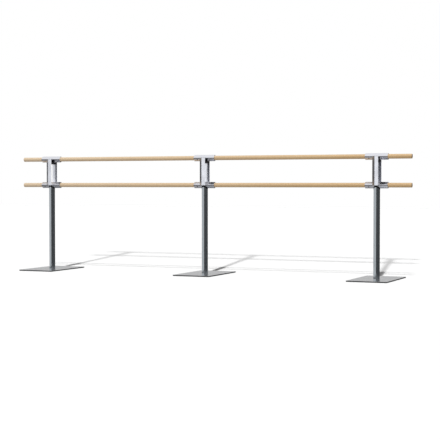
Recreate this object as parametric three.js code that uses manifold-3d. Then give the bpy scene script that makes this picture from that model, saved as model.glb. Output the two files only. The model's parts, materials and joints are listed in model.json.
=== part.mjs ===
// Free-standing double ballet barre: three floor stands carry two wooden bars, one above the other.
// Millimetres. X runs along the bars, -Y is the front, +Z is up.
// The origin is on the floor under the middle stand.
import * as THREE from "three";
import { mergeVertices } from "three/addons/utils/BufferGeometryUtils.js";
import Module from "manifold-3d";

const wasm = await Module();
wasm.setup();

// Driving dimensions.
const TOTAL_LENGTH = 4000;
const STAND_SPACING = 1680;
const UPPER_AXIS = 1100;
const LOWER_AXIS = 845;
const GAP = 0.3; // clearance left between pieces that touch

const BAR_RADIUS = 21;
const BAR_CHAMFER = 2;
const DOWEL_RADIUS = 8;
const DOWEL_LENGTH = 120;

const SLEEVE_SIDE = 47;
const SLEEVE_WALL = 2;
const SLEEVE_CORNER = 9;
const SLEEVE_LENGTH = 210;

const POST_RADIUS = 29;
const POST_WALL = 2;
const COLLAR_HEIGHT = 14;
const COLLAR_PROUD = 0.8;
const SPIGOT_WALL = 3;
const SPIGOT_DEPTH = 120;

const PLATE_WIDTH = 370;
const PLATE_DEPTH = 640;
const PLATE_THICKNESS = 8;
const PLATE_CORNER = 6;
const MAT_THICKNESS = 3;
const MAT_INSET = 2;

const ANGLE_LEG = 38;
const ANGLE_WALL = 3;
const STRUT_REACH = 82; // from the middle plane to the outer edge of a strut
const END_PLATE = 5;
const SADDLE_HEIGHT = 17;

const LOCK_SCREW_OFFSET = 70; // from the middle of a sleeve
const LOCK_HEAD_RADIUS = 5.25;
const LOCK_HEAD_HEIGHT = 3.3;
const LOCK_SHANK_RADIUS = 3;
const LOCK_SOCKET = 4; // across the flats

const FOOT_SCREW_RADIUS = 6;
const FOOT_SCREW_HEAD = 12;
const FOOT_SCREW_LENGTH = 32;
const FOOT_PLUG_HEIGHT = 25;

// Sizes that follow from them.
const SLEEVE_HALF = SLEEVE_SIDE / 2;
const SLEEVE_CREST = SLEEVE_HALF * Math.SQRT2 - SLEEVE_CORNER * (Math.SQRT2 - 1);
const PLATE_BOTTOM = MAT_THICKNESS + GAP;
const POST_BOTTOM = PLATE_BOTTOM + PLATE_THICKNESS + GAP;
const POST_BORE = POST_RADIUS - POST_WALL;
const ANGLE_SPREAD = ANGLE_LEG * Math.SQRT1_2; // half the width of a strut
const STRUT_TIP = STRUT_REACH - ANGLE_SPREAD;

const ALONG_X = new THREE.Matrix4().makeBasis(
  new THREE.Vector3(0, 1, 0),
  new THREE.Vector3(0, 0, 1),
  new THREE.Vector3(1, 0, 0),
);

const steel = { color: 0xb4b9bd, roughness: 0.34, metalness: 0.9 };
const brightSteel = { color: 0xd9dce2, roughness: 0.22, metalness: 0.9 };
const darkSteel = { color: 0x2a2c30, roughness: 0.4, metalness: 0.7 };
const beech = { color: 0xcaa377, roughness: 0.5, metalness: 0 };
const blackPlastic = { color: 0x17191c, roughness: 0.45, metalness: 0 };
const rubber = { color: 0x1d1e20, roughness: 0.9, metalness: 0 };

// A closed three.js geometry as a solid that can be cut and joined.
function solidFrom(geometry) {
  const bare = geometry.clone();
  bare.deleteAttribute("normal");
  bare.deleteAttribute("uv");
  const merged = mergeVertices(bare, 1e-4);
  return new wasm.Manifold(
    new wasm.Mesh({
      numProp: 3,
      vertProperties: merged.attributes.position.array,
      triVerts: new Uint32Array(merged.index.array),
    }),
  );
}

// The same solid back as a three.js geometry.
function geometryFrom(solid) {
  const cut = solid.getMesh();
  const geometry = new THREE.BufferGeometry();
  geometry.setAttribute("position", new THREE.BufferAttribute(new Float32Array(cut.vertProperties), 3));
  geometry.setIndex(new THREE.BufferAttribute(new Uint32Array(cut.triVerts), 1));
  geometry.computeVertexNormals();
  return geometry;
}

function piece(name, geometry, look) {
  const mesh = new THREE.Mesh(geometry, new THREE.MeshStandardMaterial(look));
  mesh.name = name;
  return mesh;
}

// A polygon through [u, v] points, anticlockwise.
function polygon(points) {
  return new THREE.Shape(points.map(([u, v]) => new THREE.Vector2(u, v)));
}

// A rectangle with round corners, centred on the origin.
function roundedRectangle(width, height, corner) {
  const x = width / 2 - corner;
  const y = height / 2 - corner;
  const shape = new THREE.Shape();
  shape.absarc(x, y, corner, 0, Math.PI / 2);
  shape.absarc(-x, y, corner, Math.PI / 2, Math.PI);
  shape.absarc(-x, -y, corner, Math.PI, Math.PI * 1.5);
  shape.absarc(x, -y, corner, Math.PI * 1.5, Math.PI * 2);
  return shape;
}

// A shape pulled straight up from z = bottom.
function raised(shape, bottom, height) {
  const options = { depth: height, bevelEnabled: false, curveSegments: 4 };
  return new THREE.ExtrudeGeometry(shape, options).translate(0, 0, bottom);
}

// A shape in the (y, z) plane pulled along X, centred on x = 0.
function along(shape, length) {
  const options = { depth: length, bevelEnabled: false, curveSegments: 4 };
  return new THREE.ExtrudeGeometry(shape, options).translate(0, 0, -length / 2).applyMatrix4(ALONG_X);
}

// A profile of [radius, z] points turned about the Z axis.
function turned(points, segments) {
  const profile = points.map(([radius, z]) => new THREE.Vector2(radius, z));
  return new THREE.LatheGeometry(profile, segments).rotateX(Math.PI / 2);
}

function tube(outer, inner, bottom, top, segments) {
  const profile = [
    [inner, bottom],
    [outer, bottom],
    [outer, top],
    [inner, top],
    [inner, bottom],
  ];
  return turned(profile, segments);
}

// A trough along X that clears a square tube on edge and its round lower corner: everything above it is cut away.
function trough(axisHeight) {
  const arcHeight = axisHeight - (SLEEVE_HALF - SLEEVE_CORNER) * Math.SQRT2;
  const half = POST_RADIUS + 6;
  const flank = axisHeight - (SLEEVE_HALF + GAP) * Math.SQRT2 + half;
  const section = new THREE.Shape();
  section.absarc(0, arcHeight, SLEEVE_CORNER + GAP, Math.PI * 1.25, Math.PI * 1.75);
  section.lineTo(half, flank);
  section.lineTo(half, flank + 60);
  section.lineTo(-half, flank + 60);
  section.lineTo(-half, flank);
  return solidFrom(along(section, 2 * half));
}

function baseMat() {
  const outline = roundedRectangle(PLATE_WIDTH - 2 * MAT_INSET, PLATE_DEPTH - 2 * MAT_INSET, PLATE_CORNER);
  return raised(outline, 0, MAT_THICKNESS);
}

function basePlate() {
  const outline = roundedRectangle(PLATE_WIDTH, PLATE_DEPTH, PLATE_CORNER);
  const blank = solidFrom(raised(outline, 0, PLATE_THICKNESS));
  const hole = FOOT_SCREW_RADIUS + 0.5;
  const sink = FOOT_SCREW_HEAD + 0.8;
  const drill = [
    [0, -1],
    [sink, -1],
    [sink, 0.2],
    [hole, 0.2 + sink - hole],
    [hole, PLATE_THICKNESS + 1],
    [0, PLATE_THICKNESS + 1],
  ];
  return geometryFrom(blank.subtract(solidFrom(turned(drill, 24)))).translate(0, 0, PLATE_BOTTOM);
}

function footScrew() {
  const headTop = 0.5 + FOOT_SCREW_HEAD - FOOT_SCREW_RADIUS;
  const profile = [
    [0, 0.5],
    [FOOT_SCREW_HEAD, 0.5],
    [FOOT_SCREW_RADIUS, headTop],
    [FOOT_SCREW_RADIUS, FOOT_SCREW_LENGTH],
    [0, FOOT_SCREW_LENGTH],
  ];
  return turned(profile, 24).translate(0, 0, PLATE_BOTTOM);
}

function footPlug() {
  const bore = FOOT_SCREW_RADIUS + GAP;
  return tube(POST_BORE - GAP, bore, POST_BOTTOM, POST_BOTTOM + FOOT_PLUG_HEIGHT, 24);
}

function post() {
  const blank = solidFrom(tube(POST_RADIUS, POST_BORE, POST_BOTTOM, LOWER_AXIS, 36));
  return geometryFrom(blank.subtract(trough(LOWER_AXIS - COLLAR_HEIGHT - GAP)));
}

function postCollar() {
  const outer = POST_RADIUS + COLLAR_PROUD;
  const ring = solidFrom(tube(outer, POST_BORE, LOWER_AXIS - 80, LOWER_AXIS, 36));
  return geometryFrom(ring.intersect(trough(LOWER_AXIS - COLLAR_HEIGHT)).subtract(trough(LOWER_AXIS)));
}

function spigot() {
  const outer = POST_BORE - GAP;
  const bottom = LOWER_AXIS - SLEEVE_CREST - SPIGOT_DEPTH;
  const blank = solidFrom(tube(outer, outer - SPIGOT_WALL, bottom, LOWER_AXIS, 36));
  return geometryFrom(blank.subtract(trough(LOWER_AXIS)));
}

// A square tube along X, standing on edge, with a clearance hole for each lock screw.
function sleeve() {
  const bore = SLEEVE_SIDE - 2 * SLEEVE_WALL;
  const section = roundedRectangle(SLEEVE_SIDE, SLEEVE_SIDE, SLEEVE_CORNER);
  section.holes.push(roundedRectangle(bore, bore, SLEEVE_CORNER - SLEEVE_WALL));
  const blank = solidFrom(along(section, SLEEVE_LENGTH).rotateX(Math.PI / 4));
  const drill = [
    [0, 0],
    [LOCK_SHANK_RADIUS + GAP, 0],
    [LOCK_SHANK_RADIUS + GAP, SLEEVE_SIDE],
    [0, SLEEVE_SIDE],
  ];
  const front = solidFrom(turned(drill, 12).rotateX(Math.PI * 0.75).translate(-LOCK_SCREW_OFFSET, 0, 0));
  const back = solidFrom(turned(drill, 12).rotateX(-Math.PI * 0.75).translate(LOCK_SCREW_OFFSET, 0, 0));
  return geometryFrom(blank.subtract(front).subtract(back));
}

// A button-head screw along Z with a hex socket. Its tip stops just short of the bar.
function lockScrew() {
  const tip = BAR_RADIUS + GAP;
  const seat = SLEEVE_HALF + GAP;
  const profile = [
    [0, tip],
    [LOCK_SHANK_RADIUS, tip],
    [LOCK_SHANK_RADIUS, seat],
    [LOCK_HEAD_RADIUS, seat],
    [LOCK_HEAD_RADIUS * 0.94, seat + LOCK_HEAD_HEIGHT * 0.45],
    [LOCK_HEAD_RADIUS * 0.72, seat + LOCK_HEAD_HEIGHT * 0.85],
    [LOCK_HEAD_RADIUS * 0.5, seat + LOCK_HEAD_HEIGHT],
    [0, seat + LOCK_HEAD_HEIGHT],
  ];
  const body = solidFrom(turned(profile, 16));
  const hex = new THREE.CylinderGeometry(LOCK_SOCKET / Math.sqrt(3), LOCK_SOCKET / Math.sqrt(3), 4, 6);
  const socket = solidFrom(hex.rotateX(Math.PI / 2).translate(0, 0, seat + LOCK_HEAD_HEIGHT));
  return geometryFrom(body.subtract(socket));
}

// An upright angle profile in front of the sleeves, its edge forward, with a plate at each end
// that reaches back to the crest of the sleeve. It faces -Y.
function strut() {
  const step = ANGLE_WALL * Math.SQRT1_2;
  const crest = SLEEVE_CREST + GAP;
  const profile = [
    [0, -STRUT_REACH],
    [ANGLE_SPREAD, -STRUT_TIP],
    [ANGLE_SPREAD - step, -STRUT_TIP + step],
    [0, -STRUT_REACH + 2 * step],
    [-ANGLE_SPREAD + step, -STRUT_TIP + step],
    [-ANGLE_SPREAD, -STRUT_TIP],
  ];
  const cap = [
    [0, -STRUT_REACH],
    [ANGLE_SPREAD, -STRUT_TIP],
    [ANGLE_SPREAD, -crest],
    [-ANGLE_SPREAD, -crest],
    [-ANGLE_SPREAD, -STRUT_TIP],
  ];
  const bottom = LOWER_AXIS - END_PLATE / 2;
  const height = UPPER_AXIS - LOWER_AXIS + END_PLATE;
  const angle = solidFrom(raised(polygon(profile), bottom, height));
  const lowerCap = solidFrom(raised(polygon(cap), bottom, END_PLATE));
  const upperCap = solidFrom(raised(polygon(cap), bottom + height - END_PLATE, END_PLATE));
  return geometryFrom(angle.add(lowerCap).add(upperCap));
}

// A block under the upper sleeve that fills the room between the two struts.
function saddle() {
  const wall = ANGLE_WALL + GAP;
  const side = ANGLE_SPREAD - wall * Math.SQRT1_2;
  const point = STRUT_REACH - wall * Math.SQRT2;
  const shoulder = point - side;
  const outline = [
    [0, -point],
    [side, -shoulder],
    [side, shoulder],
    [0, point],
    [-side, shoulder],
    [-side, -shoulder],
  ];
  return raised(polygon(outline), UPPER_AXIS - SLEEVE_CREST - GAP - SADDLE_HEIGHT, SADDLE_HEIGHT);
}

// Half of a bar. Its outer end is at the origin and chamfered, and it runs along +X to a bored end.
function halfBar() {
  const length = TOTAL_LENGTH / 2 - GAP;
  const bore = DOWEL_RADIUS + GAP;
  const depth = DOWEL_LENGTH / 2 + 1;
  const profile = [
    [0, 0],
    [BAR_RADIUS - BAR_CHAMFER, 0],
    [BAR_RADIUS, BAR_CHAMFER],
    [BAR_RADIUS, length],
    [bore, length],
    [bore, length - depth],
    [0, length - depth],
  ];
  return turned(profile, 40).rotateY(Math.PI / 2);
}

function dowel() {
  const half = DOWEL_LENGTH / 2;
  const profile = [
    [0, -half],
    [DOWEL_RADIUS - 1, -half],
    [DOWEL_RADIUS, 1 - half],
    [DOWEL_RADIUS, half - 1],
    [DOWEL_RADIUS - 1, half],
    [0, half],
  ];
  return turned(profile, 16).rotateY(Math.PI / 2);
}

// The two lock screws of a sleeve: one below the front crest, one below the back crest.
function lockScrews(name, axisHeight) {
  const front = piece(`${name}_front_lock_screw`, lockScrew(), darkSteel);
  front.rotation.x = Math.PI * 0.75;
  front.position.set(-LOCK_SCREW_OFFSET, 0, axisHeight);
  const back = piece(`${name}_back_lock_screw`, lockScrew(), darkSteel);
  back.rotation.x = -Math.PI * 0.75;
  back.position.set(LOCK_SCREW_OFFSET, 0, axisHeight);
  return [front, back];
}

function stand(name, x) {
  const group = new THREE.Group();
  group.position.x = x;
  group.add(piece(`${name}_base_mat`, baseMat(), rubber));
  group.add(piece(`${name}_base_plate`, basePlate(), steel));
  group.add(piece(`${name}_foot_screw`, footScrew(), darkSteel));
  group.add(piece(`${name}_foot_plug`, footPlug(), steel));
  group.add(piece(`${name}_post`, post(), steel));
  group.add(piece(`${name}_post_collar`, postCollar(), blackPlastic));
  group.add(piece(`${name}_spigot`, spigot(), steel));
  for (const [level, axisHeight] of [["lower", LOWER_AXIS], ["upper", UPPER_AXIS]]) {
    const tubeMesh = piece(`${name}_${level}_sleeve`, sleeve(), brightSteel);
    tubeMesh.position.z = axisHeight;
    group.add(tubeMesh, ...lockScrews(`${name}_${level}`, axisHeight));
  }
  const backStrut = piece(`${name}_back_strut`, strut(), brightSteel);
  backStrut.rotation.z = Math.PI;
  group.add(piece(`${name}_front_strut`, strut(), brightSteel), backStrut);
  group.add(piece(`${name}_saddle_block`, saddle(), blackPlastic));
  return group;
}

function bar(level, axisHeight) {
  const group = new THREE.Group();
  group.position.z = axisHeight;
  const left = piece(`${level}_bar_left`, halfBar(), beech);
  left.position.x = -TOTAL_LENGTH / 2;
  const right = piece(`${level}_bar_right`, halfBar(), beech);
  right.position.x = TOTAL_LENGTH / 2;
  right.rotation.z = Math.PI;
  group.add(left, right, piece(`${level}_joint_dowel`, dowel(), beech));
  return group;
}

const barre = new THREE.Group();
barre.name = "double_ballet_barre";
barre.add(stand("left", -STAND_SPACING));
barre.add(stand("middle", 0));
barre.add(stand("right", STAND_SPACING));
barre.add(bar("lower", LOWER_AXIS));
barre.add(bar("upper", UPPER_AXIS));

export default barre;
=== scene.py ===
"""Looks for the double ballet barre: detailed pieces, materials, light and camera."""

import json
import math

import bmesh
import bpy
from mathutils import Matrix, Vector


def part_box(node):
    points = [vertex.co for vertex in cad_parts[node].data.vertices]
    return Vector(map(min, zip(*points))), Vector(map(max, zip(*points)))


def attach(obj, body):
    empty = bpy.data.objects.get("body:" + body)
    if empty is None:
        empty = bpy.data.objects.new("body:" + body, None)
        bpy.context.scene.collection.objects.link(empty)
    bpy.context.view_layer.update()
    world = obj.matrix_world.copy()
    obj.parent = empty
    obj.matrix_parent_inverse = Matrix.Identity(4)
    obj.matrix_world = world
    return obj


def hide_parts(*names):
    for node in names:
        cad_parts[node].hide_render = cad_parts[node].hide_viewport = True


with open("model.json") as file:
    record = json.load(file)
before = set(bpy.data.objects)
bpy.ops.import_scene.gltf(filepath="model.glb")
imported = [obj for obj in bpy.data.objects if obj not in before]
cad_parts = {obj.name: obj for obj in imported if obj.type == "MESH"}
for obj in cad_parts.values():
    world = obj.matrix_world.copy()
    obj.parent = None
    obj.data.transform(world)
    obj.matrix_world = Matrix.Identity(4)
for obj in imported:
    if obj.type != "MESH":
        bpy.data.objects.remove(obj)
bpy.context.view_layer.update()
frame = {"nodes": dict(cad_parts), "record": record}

STANDS = ("left", "middle", "right")
LEVELS = ("lower", "upper")
MM = 0.001

# Sizes that repeat the CAD part's own, in metres.
BAR_RADIUS = 21 * MM
BAR_CHAMFER = 2 * MM
BORE_RADIUS = 8.3 * MM
BORE_DEPTH = 61 * MM
SLEEVE_SIDE = 47 * MM
SLEEVE_WALL = 2 * MM
SLEEVE_CORNER = 9 * MM
SLEEVE_CREST = SLEEVE_SIDE * math.sqrt(0.5) - SLEEVE_CORNER * (math.sqrt(2) - 1)
POST_RADIUS = 29 * MM
POST_BORE = 27 * MM
COLLAR_HEIGHT = 14 * MM
COLLAR_RADIUS = 29.8 * MM
ANGLE_WALL = 3 * MM
ANGLE_SPREAD = 38 * MM * math.sqrt(0.5)
STRUT_REACH = 82 * MM
END_PLATE = 5 * MM
GAP = 0.3 * MM
PLATE_CORNER = 6 * MM
LOCK_SOCKET = 4 * MM
LOCK_SHANK = 3 * MM
LOCK_HEAD_RADIUS = 5.25 * MM
LOCK_HEAD_HEIGHT = 3.3 * MM

# Details that only the visual model has. Lengths are in metres.
BAR_STEPS = 60  # rings along half a bar
ANGLE_EDGE = 3 * MM  # radius of an angle's outer edge
ANGLE_ROOT = 1 * MM  # radius of its inner corner
POST_RINGS = 12
POST_RINGS_END = 60 * MM  # the post's plain rings end at least this far below the lower sleeve's axis
LOCK_RIM = 0.2 * MM  # a lock screw's head is this much narrower underneath
LOCK_LIP = 2.9 * MM  # radius of the lip round its socket
LOCK_DOME_START = 0.12  # the share of the head's height at which the dome starts
LOCK_DOME_ANGLES = (0, 12, 24, 36, 48, 60, 68)  # degrees
LOCK_SOCKET_DEPTHS = (0.15 * MM, 1.9 * MM)

# Widths of the eased edges, in metres.
SLEEVE_EASE = 0.5 * MM
ANGLE_EASE = 0.3 * MM
END_PLATE_EASE = 0.4 * MM
SADDLE_EASE = 1.0 * MM
POST_EASE = 0.4 * MM
COLLAR_EASE = 0.7 * MM
PLATE_EASE = 0.9 * MM
MAT_EASE = 0.6 * MM
EASED_FROM = math.radians(30)  # edges sharper than this are eased

# Weld beads: sizes in metres, ripples as shares of the radius.
BEAD_RADIUS = 1.7 * MM
BEAD_OUT = 1.1 * MM  # from the sleeve's crest to the middle of the bead
BEAD_RISE = 0.7 * MM  # from the end plate's face to the middle of the bead
BEAD_SHORTER = 4 * MM  # than the end plate is wide
BEAD_STEPS = 72
BEAD_SIDES = 12
BEAD_RIPPLES = 14
BEAD_RIPPLE = 0.10
BEAD_UNEVEN = 0.03
BEAD_UNEVEN_TURN = 37
BEAD_END_POWER = 12
BEAD_END_LEAST = 0.02

BODY_OF = {n: body for body, nodes in frame["record"]["behaviour"]["bodies"].items() for n in nodes}


def centre(node):
    low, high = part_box(node)
    return (Vector(low) + Vector(high)) / 2


# ---------------------------------------------------------------- materials

# Mapping scales. A small scale draws the pattern out along that axis.
EVEN = (1, 1, 1)
BRUSHED_X = (0.012, 1, 1)
BRUSHED_Y = (1, 0.012, 1)
BRUSHED_Z = (1, 1, 0.012)
TURNED_Z = (1, 1, 0.2)
RINGS_X = (0.12, 1, 1)
STREAKS_X = (0.03, 1, 1)
CLOUDS_X = (0.25, 1, 1)
FLECKS_X = (0.07, 1, 1)

BEECH_RINGS = [(0.0, (0.58, 0.365, 0.165)), (0.55, (0.64, 0.43, 0.215)), (1.0, (0.68, 0.475, 0.25))]
BEECH_STREAK = (0.52, 0.32, 0.14)
BEECH_WARM = (0.71, 0.51, 0.28)
# A painted sheen: towards the left end the wood is painted paler and greyer.
BEECH_PAINTED_SHEEN = (0.79, 0.66, 0.50)
BEECH_FLECK = (0.36, 0.20, 0.085)
PAINTED_SHEEN_SHARE = 0.62
PAINTED_SHEEN_STRETCH = (-2.0, 1.4)  # the stretch of X over which the wood turns from pale to full colour
# The end grain's colours: partly its own darker tone, partly painted shade that darkens the bars' end
# faces.
SAWN_RINGS_WITH_SHADE = [(0.0, (0.16, 0.095, 0.045)), (0.6, (0.25, 0.16, 0.085)), (1.0, (0.31, 0.205, 0.11))]
SAWN_PORE = (0.10, 0.055, 0.025)
OXIDE_BLACK = (0.025, 0.025, 0.03)
OXIDE_RUBBED = (0.16, 0.16, 0.17)
RUBBER_CLEAN = (0.012, 0.012, 0.013)
RUBBER_DUSTY = (0.05, 0.049, 0.047)


class Look:
    """A node material under construction."""

    def __init__(self, name):
        self.material = bpy.data.materials.new(name)
        self.material.use_nodes = True
        self.tree = self.material.node_tree
        self.shader = self.tree.nodes["Principled BSDF"]

    def node(self, kind, links=(), **settings):
        """Adds a node. Settings whose name is a socket are set there, and links feed sockets."""
        made = self.tree.nodes.new(kind)
        for name, value in settings.items():
            socket = name.replace("_", " ").title()
            if socket in made.inputs:
                made.inputs[socket].default_value = value
            else:
                setattr(made, name, value)
        for socket, source in dict(links).items():
            self.tree.links.new(source, made.inputs[socket])
        return made

    def coords(self, scale=EVEN, offset=(0, 0, 0)):
        """Object coordinates, scaled and then moved by offset, for grain that runs along one axis."""
        place = self.node("ShaderNodeTexCoord").outputs["Object"]
        links = {"Vector": place}
        return self.node("ShaderNodeMapping", links, scale=scale, location=offset).outputs["Vector"]

    def noise(self, vector, scale, detail=4.0, roughness=0.5):
        made = self.node("ShaderNodeTexNoise", {"Vector": vector}, scale=scale, detail=detail)
        made.inputs["Roughness"].default_value = roughness
        return made.outputs["Fac"]

    def ramp(self, factor, stops):
        """A colour ramp through (position, colour) stops."""
        made = self.node("ShaderNodeValToRGB", {"Fac": factor})
        points = made.color_ramp.elements
        while len(points) < len(stops):
            points.new(0.5)
        for point, (position, colour) in zip(points, stops):
            point.position = position
            point.color = (*colour, 1)
        return made.outputs["Color"]

    def spread(self, value, low, high, source=(0.3, 0.7)):
        """Maps a value from the source range to low..high."""
        made = self.node("ShaderNodeMapRange", {"Value": value})
        made.inputs["From Min"].default_value = source[0]
        made.inputs["From Max"].default_value = source[1]
        made.inputs["To Min"].default_value = low
        made.inputs["To Max"].default_value = high
        return made.outputs["Result"]

    def maths(self, operation, a, b):
        made = self.node("ShaderNodeMath", operation=operation)
        for socket, value in zip(made.inputs, (a, b)):
            if isinstance(value, (int, float)):
                socket.default_value = value
            else:
                self.tree.links.new(value, socket)
        return made.outputs["Value"]

    def mix(self, a, b, factor):
        """Colour a at factor 0, colour b at factor 1."""
        made = self.node("ShaderNodeMix", data_type="RGBA", blend_type="MIX")
        for socket, value in zip((made.inputs[0], made.inputs[6], made.inputs[7]), (factor, a, b)):
            if isinstance(value, (int, float)):
                socket.default_value = value
            elif isinstance(value, tuple):
                socket.default_value = (*value, 1)
            else:
                self.tree.links.new(value, socket)
        return made.outputs[2]

    def bump(self, height, distance, strength=1.0):
        links = {"Height": height}
        made = self.node("ShaderNodeBump", links, distance=distance, strength=strength)
        self.tree.links.new(made.outputs["Normal"], self.shader.inputs["Normal"])

    def finish(self, colour=None, roughness=None, **constants):
        """Feeds the shader: colour and roughness from nodes, everything else as constants."""
        for name, source in (("Base Color", colour), ("Roughness", roughness)):
            if source is not None:
                self.tree.links.new(source, self.shader.inputs[name])
        for name, value in constants.items():
            self.shader.inputs[name.replace("_", " ").title()].default_value = value
        return self.material


def brushed_metal(name, colour, roughness, brushing, grain=3500, stain=0.93):
    """Metal with fine brush lines. Brushing is the mapping scale: the small axis is the brushed one.
    Stain is how much of the colour is left where the metal is dull."""
    groove, uneven = 0.97, 0.02
    look = Look(name)
    lines = look.noise(look.coords(brushing), grain, detail=5.0, roughness=0.65)
    smudge = look.noise(look.coords(), scale=14, detail=3.0)
    tint = look.ramp(lines, [(0.3, tuple(c * groove for c in colour)), (0.7, colour)])
    worn = look.mix(tint, tuple(c * stain for c in colour), look.spread(smudge, 0.0, 0.8))
    rough = look.maths("ADD", look.spread(lines, roughness - uneven, roughness + uneven),
                       look.spread(smudge, -uneven, uneven))
    look.bump(smudge, distance=0.02 * MM, strength=0.04)
    return look.finish(worn, rough, metallic=1.0)


def moulded_plastic(name, colour, roughness):
    """Plastic with a pebbled skin and faint lighter clouds."""
    lighter = 1.6
    look = Look(name)
    pebble = look.noise(look.coords(), scale=2600, detail=2.0)
    cloud = look.noise(look.coords(), scale=45, detail=3.0)
    tint = look.ramp(cloud, [(0.35, colour), (0.75, tuple(c * lighter for c in colour))])
    look.bump(pebble, distance=0.05 * MM, strength=0.5)
    return look.finish(tint, look.spread(cloud, roughness - 0.06, roughness + 0.08))


def black_oxide(name):
    """Blackened steel with a trace of bare metal where the tool has rubbed."""
    look = Look(name)
    rub = look.noise(look.coords(), scale=650, detail=4.0)
    tint = look.ramp(rub, [(0.55, OXIDE_BLACK), (0.8, OXIDE_RUBBED)])
    look.bump(rub, distance=0.02 * MM, strength=0.5)
    return look.finish(tint, look.spread(rub, 0.3, 0.5), metallic=0.85)


def ribbed_rubber(name):
    """Black rubber with fine ribs and dust."""
    look = Look(name)
    place = look.coords()
    ribs = look.node("ShaderNodeTexWave", {"Vector": place}, scale=140, bands_direction="X")
    dust = look.noise(place, scale=120, detail=5.0)
    tint = look.ramp(dust, [(0.35, RUBBER_CLEAN), (0.8, RUBBER_DUSTY)])
    look.bump(ribs.outputs["Fac"], distance=0.15 * MM, strength=0.4)
    return look.finish(tint, look.spread(dust, 0.8, 0.95))


def growth_rings(look, offset):
    """Rings round a pith beside the bar, wavy along the grain, from 0 to 1."""
    place = look.coords(RINGS_X, offset)
    return look.node("ShaderNodeTexWave", {"Vector": place}, wave_type="RINGS", rings_direction="X",
                     scale=26, distortion=5.0, detail=3.0, detail_scale=1.2).outputs["Fac"]


def varnished_beech(name, offset):
    """Varnished beech: soft growth bands and short brown flecks along X. The wood is painted paler to the
    left, a painted sheen.
    """
    look = Look(name)
    rings = growth_rings(look, offset)
    streaks = look.noise(look.coords(STREAKS_X, offset), scale=210, detail=6.0, roughness=0.6)
    broad = look.noise(look.coords(CLOUDS_X, offset), scale=9, detail=3.0)
    flecks = look.noise(look.coords(FLECKS_X, offset), scale=1500, detail=2.0)
    base = look.ramp(rings, BEECH_RINGS)
    streaked = look.mix(base, BEECH_STREAK, look.spread(streaks, 0.0, 0.45, source=(0.45, 0.8)))
    warm = look.mix(streaked, BEECH_WARM, look.spread(broad, 0.0, 0.45))
    along = look.node("ShaderNodeSeparateXYZ", {"Vector": look.coords()}).outputs["X"]
    # Painted sheen: the colour turns paler towards the left along X.
    with_painted_sheen = look.mix(warm, BEECH_PAINTED_SHEEN, look.spread(along, PAINTED_SHEEN_SHARE, 0.0, source=PAINTED_SHEEN_STRETCH))
    fleck = look.spread(flecks, 0.0, 0.5, source=(0.60, 0.72))
    tint = look.mix(with_painted_sheen, BEECH_FLECK, fleck)
    rough = look.maths("ADD", look.spread(streaks, 0.36, 0.46), look.maths("MULTIPLY", fleck, 0.12))
    look.bump(look.maths("SUBTRACT", streaks, fleck), distance=0.06 * MM, strength=0.35)
    return look.finish(tint, rough, coat_weight=0.25, coat_roughness=0.22)


def end_grain(name, offset):
    """The sawn end of a bar: ring arcs and fine pores, darker than the sides, partly as end grain is and
    partly painted shade.
    """
    look = Look(name)
    rings = growth_rings(look, offset)
    pores = look.noise(look.coords(EVEN, offset), scale=2200, detail=3.0)
    tint = look.ramp(rings, SAWN_RINGS_WITH_SHADE)
    dotted = look.mix(tint, SAWN_PORE, look.spread(pores, 0.0, 0.8, source=(0.55, 0.7)))
    look.bump(pores, distance=0.1 * MM, strength=0.5)
    return look.finish(dotted, look.spread(pores, 0.6, 0.8))


POST_STEEL = brushed_metal("post_steel", (0.62, 0.67, 0.71), 0.17, BRUSHED_Z)
HEAD_STEEL = brushed_metal("head_steel", (0.86, 0.86, 0.90), 0.20, BRUSHED_X)
STRUT_STEEL = brushed_metal("strut_steel", (0.84, 0.86, 0.92), 0.34, BRUSHED_Z)
PLATE_STEEL = brushed_metal("plate_steel", (0.75, 0.75, 0.76), 0.20, BRUSHED_Y, grain=2600, stain=0.72)
WELD_STEEL = brushed_metal("weld_steel", (0.50, 0.49, 0.48), 0.36, EVEN, grain=1400)
HIDDEN_STEEL = brushed_metal("turned_steel", (0.55, 0.56, 0.58), 0.35, TURNED_Z)
BLACK_PLASTIC = moulded_plastic("black_plastic", (0.012, 0.012, 0.014), 0.42)
BLACK_STEEL = black_oxide("black_oxide_steel")
RUBBER = ribbed_rubber("ribbed_rubber")


# ---------------------------------------------------------------- mesh helpers


def piece(name, points, faces, material, node, sharp=35):
    """A shown piece that stands for a CAD node, rides on its body and hides the node.
    Edges sharper than an angle of sharp degrees are not smoothed."""
    mesh = bpy.data.meshes.new(name)
    mesh.from_pydata([tuple(p) for p in points], [], [tuple(f) for f in faces])
    mesh.update()
    work = bmesh.new()
    work.from_mesh(mesh)
    bmesh.ops.recalc_face_normals(work, faces=work.faces)
    work.to_mesh(mesh)
    work.free()
    mesh.shade_smooth()
    mesh.set_sharp_from_angle(angle=math.radians(sharp))
    mesh.materials.append(material)
    made = bpy.data.objects.new(name, mesh)
    bpy.context.scene.collection.objects.link(made)
    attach(made, BODY_OF[node])
    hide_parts(node)
    return made


def bevel(made, width, segments=3):
    """Small round edges on everything sharp."""
    modifier = made.modifiers.new("edges", "BEVEL")
    modifier.width = width
    modifier.segments = segments
    modifier.limit_method = "ANGLE"
    modifier.angle_limit = EASED_FROM
    modifier.harden_normals = True


def grid_faces(rings, around, closed):
    """Quads between rings of points. When closed, the last ring joins the first."""
    faces = []
    for i in range(rings if closed else rings - 1):
        j = (i + 1) % rings
        for k in range(around):
            m = (k + 1) % around
            faces.append((i * around + k, i * around + m, j * around + m, j * around + k))
    return faces


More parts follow.
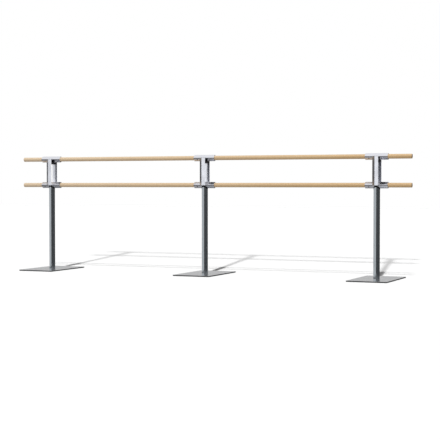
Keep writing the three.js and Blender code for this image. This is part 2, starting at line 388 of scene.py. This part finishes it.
def turned_along_x(profile, at, direction, segments=96):
    """Points and faces of a profile of (distance along, radius) turned about a line along X.
    A flat face closes it at either end."""
    points = []
    for along, radius in profile:
        for k in range(segments):
            turn = 2 * math.pi * k / segments
            offset = Vector((direction * along, radius * math.cos(turn), radius * math.sin(turn)))
            points.append(at + offset)
    faces = grid_faces(len(profile), segments, False)
    faces.append(tuple(range(segments)))
    last = (len(profile) - 1) * segments
    faces.append(tuple(range(last, last + segments)))
    return points, faces


def prism(outline, low, high):
    """Points and faces of an outline of (x, y) pulled up from low to high."""
    count = len(outline)
    points = [(x, y, z) for z in (low, high) for x, y in outline]
    faces = grid_faces(2, count, False)
    faces.append(tuple(range(count)))
    faces.append(tuple(range(count, 2 * count)))
    return points, faces


def moved(points, offset):
    return [Vector(p) + Vector(offset) for p in points]


def joined(*parts):
    """Several (points, faces) bodies as one."""
    points, faces = [], []
    for part_points, part_faces in parts:
        start = len(points)
        points.extend(part_points)
        faces.extend(tuple(start + i for i in face) for face in part_faces)
    return points, faces


def arc(cx, cy, radius, start, end, steps):
    """Points of an arc, angles in degrees."""
    turns = [math.radians(start + (end - start) * i / steps) for i in range(steps + 1)]
    return [(cx + radius * math.cos(t), cy + radius * math.sin(t)) for t in turns]


def round_rectangle(width, height, corner, steps=8):
    """Outline of a rectangle about the origin with round corners."""
    x, y = width / 2 - corner, height / 2 - corner
    corners = ((x, y, 0), (-x, y, 90), (-x, -y, 180), (x, -y, 270))
    return [p for cx, cy, start in corners for p in arc(cx, cy, corner, start, start + 90, steps)]


# ---------------------------------------------------------------- bars


def rounded_chamfer(steps=4):
    """The outer end of a bar: (distance along, radius), a small rounded chamfer."""
    turn = [math.radians(90 * i / steps) for i in range(steps + 1)]
    return [(BAR_CHAMFER * (1 - math.sin(t)), BAR_RADIUS - BAR_CHAMFER * (1 - math.cos(t)))
            for t in reversed(turn)]


def grain_offset(seed):
    """Where a half bar lies in the grain, so that no two look alike."""
    return (seed * 0.731, 0.031 - seed * 0.017, -0.024 - seed * 0.006)


def half_bar(level, side, seed):
    """Half a bar along X, bored for its dowel, with end grain on its flat faces."""
    node = f"{level}_bar_{side}"
    low, high = (Vector(v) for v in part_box(node))
    middle = (low + high) / 2
    length = high.x - low.x
    outward = -1 if side == "left" else 1
    outer_end = low.x if side == "left" else high.x
    body = [(length * i / BAR_STEPS, BAR_RADIUS) for i in range(1, BAR_STEPS)]
    bore = [(length, BORE_RADIUS), (length - BORE_DEPTH, BORE_RADIUS)]
    profile = [*rounded_chamfer(), *body, (length, BAR_RADIUS), *bore]
    at = Vector((outer_end, middle.y, middle.z))
    points, faces = turned_along_x(profile, at, -outward)
    offset = grain_offset(seed)
    made = piece(f"{node}_beech", points, faces, varnished_beech(f"beech_{seed}", offset), node, sharp=50)
    made.data.materials.append(end_grain(f"end_grain_{seed}", offset))
    facing_along = 0.98
    for face in made.data.polygons:
        if abs(face.normal.x) > facing_along:
            face.material_index = 1
    return made


HALVES = [(level, side) for level in LEVELS for side in ("left", "right")]
BARS = [half_bar(level, side, seed) for seed, (level, side) in enumerate(HALVES)]


# ---------------------------------------------------------------- stands


def sleeve(stand, level):
    """A square tube on edge, with round corners and softened ends."""
    node = f"{stand}_{level}_sleeve"
    low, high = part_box(node)
    at = centre(node)
    inner_side = SLEEVE_SIDE - 2 * SLEEVE_WALL
    outer = round_rectangle(SLEEVE_SIDE, SLEEVE_SIDE, SLEEVE_CORNER)
    inner = round_rectangle(inner_side, inner_side, SLEEVE_CORNER - SLEEVE_WALL)
    shrink = 1 - 2 * SLEEVE_EASE / SLEEVE_SIDE
    grow = 1 + 2 * SLEEVE_EASE / inner_side
    half = (high[0] - low[0]) / 2
    straight = half - SLEEVE_EASE
    rings = [(outer, 1, -straight), (outer, 1, straight), (outer, shrink, half), (inner, grow, half),
             (inner, 1, straight), (inner, 1, -straight), (inner, grow, -half), (outer, shrink, -half)]
    turn = math.sqrt(0.5)
    points = [(x, at.y + (u - v) * scale * turn, at.z + (u + v) * scale * turn)
              for loop, scale, x in rings for u, v in loop]
    points = moved(points, (at.x, 0, 0))
    faces = grid_faces(len(rings), len(outer), True)
    return piece(f"{node}_tube", points, faces, HEAD_STEEL, node, sharp=30)


def ridge():
    """The round outer edge of a front angle, seen in plan."""
    return arc(0, -STRUT_REACH + ANGLE_EDGE * math.sqrt(2), ANGLE_EDGE, 225, 315, 8)


def angle_outline(side):
    """Plan of an angle, round at its outer edge and its inner corner. Side is -1 in front and 1 behind."""
    step = ANGLE_WALL * math.sqrt(0.5)
    tip = STRUT_REACH - ANGLE_SPREAD
    right = [(ANGLE_SPREAD, -tip), (ANGLE_SPREAD - step, -tip + step)]
    inner = arc(0, -STRUT_REACH + 2 * step + ANGLE_ROOT * math.sqrt(2), ANGLE_ROOT, 315, 225, 5)
    left = [(-ANGLE_SPREAD + step, -tip + step), (-ANGLE_SPREAD, -tip)]
    return [(u * -side, v * -side) for u, v in (*ridge(), *right, *inner, *left)]


def cap_outline(side):
    """Plan of an end plate, from the sleeve's crest out to the edge of the angle."""
    tip, crest = STRUT_REACH - ANGLE_SPREAD, SLEEVE_CREST + GAP
    back = [(ANGLE_SPREAD, -tip), (ANGLE_SPREAD, -crest), (-ANGLE_SPREAD, -crest), (-ANGLE_SPREAD, -tip)]
    return [(u * -side, v * -side) for u, v in (*ridge(), *back)]


def weld_bead(x, y, z, length):
    """A rippled bead of weld along X that thins out at both ends."""
    points = []
    for i in range(BEAD_STEPS + 1):
        t = i / BEAD_STEPS
        ripple = BEAD_RIPPLE * abs(math.sin(t * math.pi * BEAD_RIPPLES))
        uneven = BEAD_UNEVEN * math.sin(t * BEAD_UNEVEN_TURN)
        end = math.sqrt(max(BEAD_END_LEAST, 1 - abs(2 * t - 1) ** BEAD_END_POWER))
        radius = BEAD_RADIUS * (1 + ripple + uneven) * end
        for k in range(BEAD_SIDES):
            turn = 2 * math.pi * k / BEAD_SIDES
            across, up = radius * math.cos(turn), radius * math.sin(turn)
            points.append((x + (t - 0.5) * length, y + across, z + up))
    faces = grid_faces(BEAD_STEPS + 1, BEAD_SIDES, False)
    faces.append(tuple(range(BEAD_SIDES)))
    faces.append(tuple(range(BEAD_STEPS * BEAD_SIDES, (BEAD_STEPS + 1) * BEAD_SIDES)))
    return points, faces


def strut_welds(x, side, bottom, top):
    """Four beads: above and below each end plate, where it meets the sleeve's crest."""
    y = side * (SLEEVE_CREST + BEAD_OUT)
    length = 2 * ANGLE_SPREAD - BEAD_SHORTER
    rise = END_PLATE / 2 + BEAD_RISE
    heights = [middle + offset for middle in (bottom + END_PLATE / 2, top - END_PLATE / 2)
               for offset in (-rise, rise)]
    return joined(*(weld_bead(x, y, z, length) for z in heights))


def strut(stand, face):
    """One strut: the angle, its two end plates and the beads that weld them to the sleeves."""
    node = f"{stand}_{face}_strut"
    side = -1 if face == "front" else 1
    low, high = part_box(node)
    x = centre(node).x
    points, faces = prism(angle_outline(side), low[2] + END_PLATE, high[2] - END_PLATE)
    angle = piece(f"{node}_angle", moved(points, (x, 0, 0)), faces, STRUT_STEEL, node, sharp=30)
    bevel(angle, ANGLE_EASE)
    plates = []
    for name, bottom in (("lower", low[2]), ("upper", high[2] - END_PLATE)):
        points, faces = prism(cap_outline(side), bottom, bottom + END_PLATE)
        plate = piece(f"{node}_{name}_plate", moved(points, (x, 0, 0)), faces, STRUT_STEEL, node, sharp=30)
        bevel(plate, END_PLATE_EASE)
        plates.append(plate)
    points, faces = strut_welds(x, side, low[2], high[2])
    weld = piece(f"{node}_welds", points, faces, WELD_STEEL, node)
    return [angle, *plates, weld]


def saddle(stand):
    """The block between the struts, under the upper sleeve."""
    node = f"{stand}_saddle_block"
    low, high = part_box(node)
    wall = ANGLE_WALL + GAP
    side = ANGLE_SPREAD - wall * math.sqrt(0.5)
    point = STRUT_REACH - wall * math.sqrt(2)
    outline = [(0, -point), (side, side - point), (side, point - side),
               (0, point), (-side, point - side), (-side, side - point)]
    points, faces = prism(outline, low[2], high[2])
    points = moved(points, (centre(node).x, 0, 0))
    made = piece(f"{node}_moulding", points, faces, BLACK_PLASTIC, node, sharp=30)
    bevel(made, SADDLE_EASE)
    return made


def trough_height(axis_height, y):
    """Height of the trough that a coped tube end follows, at a distance y from the middle plane."""
    radius = SLEEVE_CORNER + GAP
    if abs(y) < radius * math.sqrt(0.5):
        arc_height = axis_height - (SLEEVE_SIDE / 2 - SLEEVE_CORNER) * math.sqrt(2)
        return arc_height - math.sqrt(radius ** 2 - y ** 2)
    return axis_height - (SLEEVE_SIDE / 2 + GAP) * math.sqrt(2) + abs(y)


def coped_ring(x, rings, segments=144):
    """A ring about a vertical line. Each of its rings is (radius, height as a function of y)."""
    points = []
    for radius, height in rings:
        for k in range(segments):
            turn = 2 * math.pi * k / segments
            y = radius * math.sin(turn)
            points.append((x + radius * math.cos(turn), y, height(y)))
    return points, grid_faces(len(rings), segments, True)


def post(stand):
    """The upright tube. Its top follows the trough under the collar."""
    node = f"{stand}_post"
    low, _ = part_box(node)
    axis_height = centre(f"{stand}_lower_sleeve").z
    bottom = low[2]

    def foot(y):
        return bottom

    def top(y):
        return trough_height(axis_height - COLLAR_HEIGHT - GAP, y)

    straight = axis_height - POST_RINGS_END - bottom
    levels = [bottom + POST_EASE + straight * i / POST_RINGS for i in range(POST_RINGS)]
    outside = [(POST_RADIUS, lambda y, z=z: z) for z in levels]
    rings = [(POST_RADIUS - POST_EASE, foot), *outside, (POST_RADIUS, lambda y: top(y) - POST_EASE),
             (POST_RADIUS - POST_EASE, top), (POST_BORE, top), (POST_BORE, foot)]
    points, faces = coped_ring(centre(node).x, rings)
    return piece(f"{node}_tube", points, faces, POST_STEEL, node, sharp=30)


def collar(stand):
    """The plastic ring between post and sleeve, coped above and below."""
    node = f"{stand}_post_collar"
    axis_height = centre(f"{stand}_lower_sleeve").z
    eased = COLLAR_RADIUS - COLLAR_EASE

    def top(y):
        return trough_height(axis_height, y)

    def base(y):
        return trough_height(axis_height - COLLAR_HEIGHT, y)

    rings = [(POST_BORE, base), (eased, base), (COLLAR_RADIUS, lambda y: base(y) + COLLAR_EASE),
             (COLLAR_RADIUS, lambda y: top(y) - COLLAR_EASE), (eased, top), (POST_BORE, top)]
    points, faces = coped_ring(centre(node).x, rings)
    return piece(f"{node}_ring", points, faces, BLACK_PLASTIC, node, sharp=40)


def slab(stand, part, ease, material):
    """A flat plate with round corners and eased edges that fills its CAD node's box."""
    node = f"{stand}_{part}"
    low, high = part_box(node)
    at = centre(node)
    outline = round_rectangle(high[0] - low[0], high[1] - low[1], PLATE_CORNER)
    points, faces = prism(outline, low[2], high[2])
    made = piece(f"{node}_slab", moved(points, (at.x, at.y, 0)), faces, material, node, sharp=30)
    bevel(made, ease)
    return made


def socket_radius(turn):
    """Distance to the side of the hex socket in the direction of an angle."""
    return LOCK_SOCKET / 2 / math.cos((turn + math.pi / 6) % (math.pi / 3) - math.pi / 6)


def lock_dome(seat):
    """Profile of the button head, (radius, height), from its rim up to the socket."""
    turns = [math.radians(angle) for angle in LOCK_DOME_ANGLES]
    shares = [LOCK_DOME_START + (1 - LOCK_DOME_START) * math.sin(t) for t in turns]
    return [(LOCK_HEAD_RADIUS * math.cos(t), seat + LOCK_HEAD_HEIGHT * share)
            for t, share in zip(turns, shares)]


def lock_screw(stand, level, face):
    """A button-head screw with a hex socket, square to the lower face of its sleeve."""
    node = f"{stand}_{level}_{face}_lock_screw"
    sleeve_at = centre(f"{stand}_{level}_sleeve")
    at = Vector((centre(node).x, sleeve_at.y, sleeve_at.z))
    tip, seat = BAR_RADIUS + GAP, SLEEVE_SIDE / 2 + GAP
    head = seat + LOCK_HEAD_HEIGHT
    rim = LOCK_HEAD_RADIUS - LOCK_RIM
    rings = [(LOCK_SHANK, tip), (LOCK_SHANK, seat), (rim, seat), *lock_dome(seat), (LOCK_LIP, head)]
    segments = 48
    turns = [2 * math.pi * k / segments for k in range(segments)]
    points = [(r * math.cos(t), r * math.sin(t), h) for r, h in rings for t in turns]
    for depth in LOCK_SOCKET_DEPTHS:
        side = [(socket_radius(t), t) for t in turns]
        points += [(r * math.cos(t), r * math.sin(t), head - depth) for r, t in side]
    count = len(rings) + len(LOCK_SOCKET_DEPTHS)
    faces = grid_faces(count, segments, False)
    faces.append(tuple(range(segments)))
    faces.append(tuple(range((count - 1) * segments, count * segments)))
    tilt = Matrix.Rotation(math.radians(135 if face == "front" else -135), 3, "X")
    points = [at + tilt @ Vector(p) for p in points]
    return piece(f"{node}_button", points, faces, BLACK_STEEL, node, sharp=40)


SLEEVES = [sleeve(stand, level) for stand in STANDS for level in LEVELS]
STRUTS = [part for stand in STANDS for face in ("front", "back") for part in strut(stand, face)]
SADDLES = [saddle(stand) for stand in STANDS]
POSTS = [post(stand) for stand in STANDS]
COLLARS = [collar(stand) for stand in STANDS]
PLATES = [slab(stand, "base_plate", PLATE_EASE, PLATE_STEEL) for stand in STANDS]
MATS = [slab(stand, "base_mat", MAT_EASE, RUBBER) for stand in STANDS]
SCREWS = [lock_screw(stand, level, face)
          for stand in STANDS for level in LEVELS for face in ("front", "back")]

# The hidden pieces keep their CAD meshes and get new materials.
INNER_BEECH = varnished_beech("dowel_beech", offset=(0.4, 0.02, 0.01))
INNER_LOOKS = {"foot_screw": BLACK_STEEL, "foot_plug": HIDDEN_STEEL, "spigot": HIDDEN_STEEL}
for stand in STANDS:
    for part, material in INNER_LOOKS.items():
        frame["nodes"][f"{stand}_{part}"].material_slots[0].material = material
for level in LEVELS:
    frame["nodes"][f"{level}_joint_dowel"].material_slots[0].material = INNER_BEECH


# ---------------------------------------------------------------- floor, light, camera

FLOOR_HALF = 30.0
FLOOR_GREY = (0.36, 0.36, 0.36, 1)
ROOM_GREYS = ((0.0, 0.36), (0.06, 0.32), (0.16, 0.07), (0.56, 0.07), (0.72, 0.75), (1.0, 0.92))
ROOM_TINT = (1, 1.01, 1.03)  # a touch of blue in what the gloss reflects
DIFFUSE_GREY = (0.55, 0.55, 0.55, 1)
BACKDROP_WHITE = (1, 1, 1, 1)

CAMERA_PLACE = (4.68, -10.35, 0.855)
CAMERA_YAW = 0.412  # radians, as is the pitch
CAMERA_PITCH = -0.0300
CAMERA_LENS = 98.2
SENSOR_WIDTH = 36.0
CLIP_END = 200


def make_floor():
    """A wide matt floor that neither shows in the gloss nor lights what stands on it."""
    h = FLOOR_HALF
    mesh = bpy.data.meshes.new("floor")
    mesh.from_pydata([(-h, -h, 0), (h, -h, 0), (h, h, 0), (-h, h, 0)], [], [(0, 1, 2, 3)])
    look = Look("studio_floor")
    look.shader.inputs["Base Color"].default_value = FLOOR_GREY
    look.shader.inputs["Roughness"].default_value = 0.9
    look.shader.inputs["Specular IOR Level"].default_value = 0.0
    mesh.materials.append(look.material)
    made = bpy.data.objects.new("floor", mesh)
    bpy.context.scene.collection.objects.link(made)
    made.visible_glossy = False
    made.visible_diffuse = False
    return made


def receivers(name, *groups):
    """A collection of the objects that a light reaches."""
    made = bpy.data.collections.new(name)
    for group in groups:
        for member in group:
            made.objects.link(member)
    return made


def soft_sun(name, azimuth, elevation, strength, spread, lit):
    """A distant light on one collection. Azimuth 0 comes from the front (-Y) and 90 from the right (+X).
    The three angles are in degrees."""
    data = bpy.data.lights.new(name, "SUN")
    data.energy = strength
    data.angle = math.radians(spread)
    made = bpy.data.objects.new(name, data)
    bpy.context.scene.collection.objects.link(made)
    a, e = math.radians(azimuth), math.radians(elevation)
    towards = Vector((math.sin(a) * math.cos(e), -math.cos(a) * math.cos(e), math.sin(e)))
    made.rotation_mode = "QUATERNION"
    made.rotation_quaternion = towards.to_track_quat("Z", "Y")
    made.light_linking.receiver_collection = lit


def studio_world():
    """White to the camera, an even grey to diffuse surfaces, and to gloss a room that is bright
    overhead, dark at eye level and grey below."""
    world = bpy.data.worlds.new("studio")
    bpy.context.scene.world = world
    world.use_nodes = True
    tree = world.node_tree
    tree.nodes.clear()

    def add(kind, **links):
        made = tree.nodes.new(kind)
        for name, source in links.items():
            tree.links.new(source, made.inputs[name])
        return made

    place = add("ShaderNodeTexCoord").outputs["Generated"]
    height = add("ShaderNodeSeparateXYZ", Vector=place).outputs["Z"]
    scaled = add("ShaderNodeMapRange", Value=height)
    scaled.inputs["From Min"].default_value = -1.0
    ramp = add("ShaderNodeValToRGB", Fac=scaled.outputs["Result"])
    points = ramp.color_ramp.elements
    while len(points) < len(ROOM_GREYS):
        points.new(0.5)
    for point, (position, grey) in zip(points, ROOM_GREYS):
        point.position = position
        point.color = (*(grey * tint for tint in ROOM_TINT), 1)
    room = add("ShaderNodeBackground", Color=ramp.outputs["Color"])
    even = add("ShaderNodeBackground")
    even.inputs["Color"].default_value = DIFFUSE_GREY
    white = add("ShaderNodeBackground")
    white.inputs["Color"].default_value = BACKDROP_WHITE
    path = add("ShaderNodeLightPath")
    gloss = tree.nodes.new("ShaderNodeMixShader")
    tree.links.new(path.outputs["Is Glossy Ray"], gloss.inputs[0])
    tree.links.new(even.outputs[0], gloss.inputs[1])
    tree.links.new(room.outputs[0], gloss.inputs[2])
    seen = tree.nodes.new("ShaderNodeMixShader")
    tree.links.new(path.outputs["Is Camera Ray"], seen.inputs[0])
    tree.links.new(gloss.outputs[0], seen.inputs[1])
    tree.links.new(white.outputs[0], seen.inputs[2])
    output = tree.nodes.new("ShaderNodeOutputWorld")
    tree.links.new(seen.outputs[0], output.inputs["Surface"])


def make_camera():
    """A long lens at the height of the lower bar, to the right of the front."""
    data = bpy.data.cameras.new("camera")
    data.sensor_width = SENSOR_WIDTH
    data.lens = CAMERA_LENS
    data.clip_end = CLIP_END
    made = bpy.data.objects.new("camera", data)
    bpy.context.scene.collection.objects.link(made)
    made.location = CAMERA_PLACE
    made.rotation_euler = (math.pi / 2 + CAMERA_PITCH, 0, CAMERA_YAW)
    bpy.context.scene.camera = made


FLOOR = make_floor()
studio_world()
make_camera()
LIT_FLOOR = receivers("lit_floor", [FLOOR])
LIT_OTHERS = receivers("lit_wood_and_plastic", BARS, SADDLES, COLLARS, MATS, SCREWS)
LIT_POSTS = receivers("lit_posts", POSTS)
LIT_HEADS = receivers("lit_heads", SLEEVES, STRUTS)
LIT_PLATES = receivers("lit_plates", PLATES)
soft_sun("near_shadow", azimuth=13, elevation=49, strength=4.8, spread=3.0, lit=LIT_FLOOR)
soft_sun("far_shadow", azimuth=13, elevation=19.7, strength=10.7, spread=1.8, lit=LIT_FLOOR)
soft_sun("key", azimuth=30, elevation=45, strength=1.3, spread=40, lit=LIT_OTHERS)
soft_sun("top", azimuth=0, elevation=80, strength=0.7, spread=60, lit=LIT_OTHERS)
soft_sun("post_side", azimuth=-80.5, elevation=5, strength=1.6, spread=150, lit=LIT_POSTS)
soft_sun("head_side", azimuth=66, elevation=5, strength=0.43, spread=36, lit=LIT_HEADS)
soft_sun("plate_top", azimuth=204, elevation=12, strength=0.16, spread=40, lit=LIT_PLATES)

bpy.context.scene.view_settings.view_transform = "Standard"
